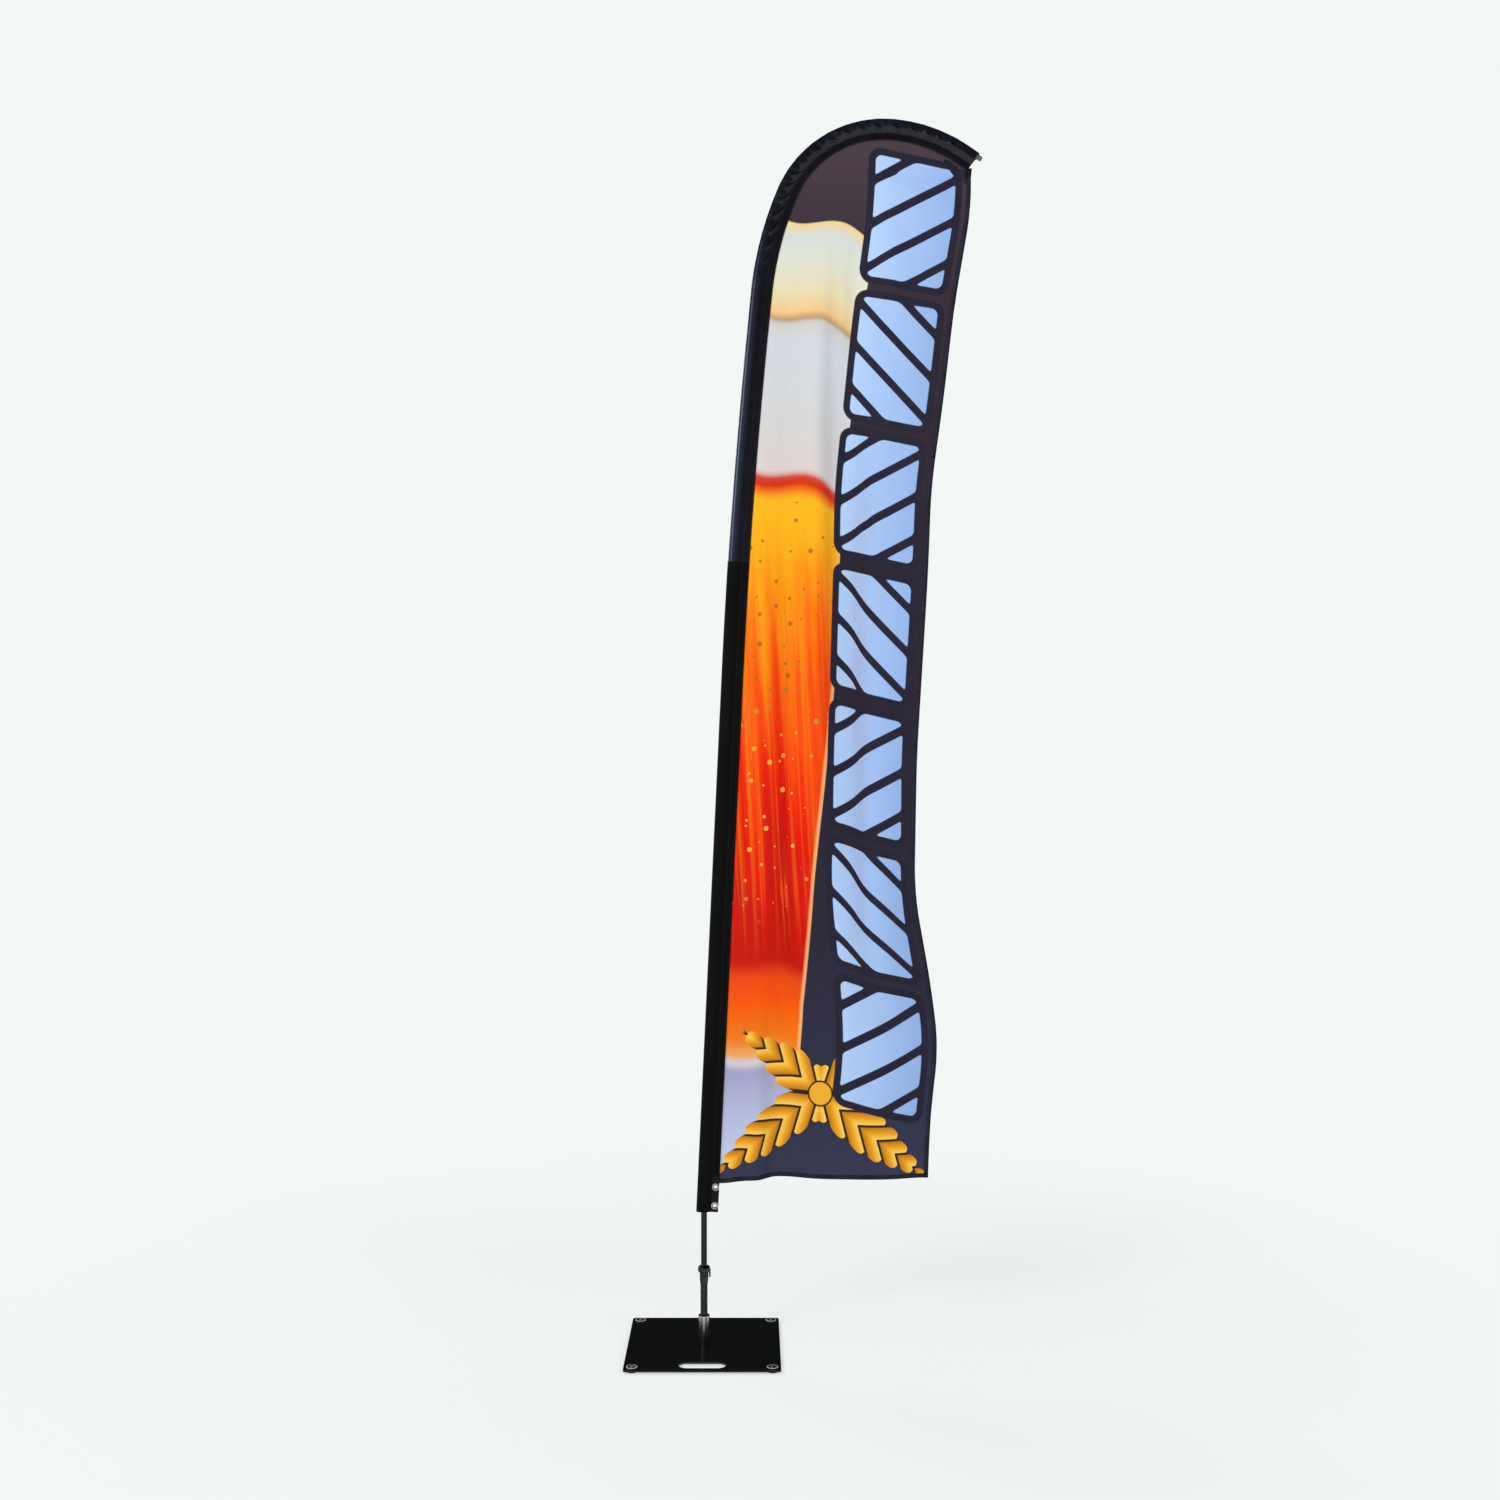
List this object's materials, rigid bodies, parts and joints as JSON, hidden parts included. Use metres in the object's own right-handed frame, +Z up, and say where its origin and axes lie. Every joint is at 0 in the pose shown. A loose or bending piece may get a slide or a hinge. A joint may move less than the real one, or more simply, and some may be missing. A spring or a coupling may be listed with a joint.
{
  "type": "feather flag on a rotating base stand",
  "caption": "Tall curved-top banner flag on a plug-together pole that turns on a bearing spindle fixed to a square steel base plate.",
  "frame": {"origin": "the point of the floor straight below the spindle's axis, level with the undersides of the four rubber feet", "axes": "+Z up along the spindle's axis, +X the way the flag flies at rest, Y square to the flag's two faces; the base's carrying slot is on the -Y side"},
  "size_m": [0.9328, 0.4, 3.2318],
  "materials": {
    "black_powder_coat": "gloss",
    "black_rubber": "matte",
    "black_nylon": "satin",
    "zinc_steel": "satin",
    "polished_steel": "polished",
    "bearing_steel": "satin",
    "gunmetal_steel": "satin",
    "black_aluminium": "gloss",
    "ferrule_metal": "satin",
    "fibreglass": "satin",
    "black_plastic": "matte",
    "grey_plastic": "satin",
    "sleeve_cloth": "matte",
    "webbing": "matte",
    "nickel_brass": "polished",
    "flag_cloth": "matte"
  },
  "bodies": {
    "base": {"base_plate": "black_powder_coat", "rubber_foot_front_left": "black_rubber", "rubber_foot_front_right": "black_rubber", "rubber_foot_back_right": "black_rubber", "rubber_foot_back_left": "black_rubber", "foot_cup_washers": "black_nylon", "foot_screws": "zinc_steel", "foot_nuts": "zinc_steel", "spindle_bolt": "zinc_steel", "bearing_housing": "polished_steel", "bearing_cap": "polished_steel", "dust_seal": "black_rubber", "lower_bearing_outer_ring": "bearing_steel", "upper_bearing_outer_ring": "bearing_steel", "outer_spacer": "bearing_steel", "lower_bearing_balls": "bearing_steel", "upper_bearing_balls": "bearing_steel"},
    "spindle_rotor": {"lower_bearing_inner_ring": "bearing_steel", "upper_bearing_inner_ring": "bearing_steel", "inner_spacer": "bearing_steel", "retaining_ring": "bearing_steel", "spindle_shaft": "bearing_steel", "spindle_tube": "gunmetal_steel", "pole_socket": "gunmetal_steel", "hook_collar": "gunmetal_steel", "pole_grip_ring": "black_rubber"},
    "lower_pole_section": {"lower_pole": "black_aluminium", "lower_ferrule": "ferrule_metal", "pole_end_plug": "black_plastic"},
    "flag_and_upper_pole": {"middle_pole": "black_aluminium", "upper_pole": "black_aluminium", "tip_rod": "fibreglass", "middle_ferrule": "ferrule_metal", "upper_ferrule": "ferrule_metal", "tip_cap": "grey_plastic", "sleeve_lower": "sleeve_cloth", "sleeve_upper": "sleeve_cloth", "sleeve_tail_patch": "webbing", "lower_eyelet": "nickel_brass", "upper_eyelet": "nickel_brass", "flag_panel": "flag_cloth", "free_edge_hem": "flag_cloth", "bottom_hem": "flag_cloth", "tip_patch": "webbing", "tip_strap": "webbing"}
  },
  "joints": [
    {"name": "spindle_turn", "type": "hinge", "parent": "base", "child": "spindle_rotor", "pos_m": [0, 0, 0.05], "axis": [0, 0, 1], "continuous": true},
    {"name": "pole_lift", "type": "slide", "parent": "spindle_rotor", "child": "lower_pole_section", "axis": [0, 0, 1], "range_m": [0, 0.1]},
    {"name": "section_pull", "type": "slide", "parent": "lower_pole_section", "child": "flag_and_upper_pole", "axis": [0.0471, 0, 0.9989], "range_m": [0, 0.1]}
  ]
}
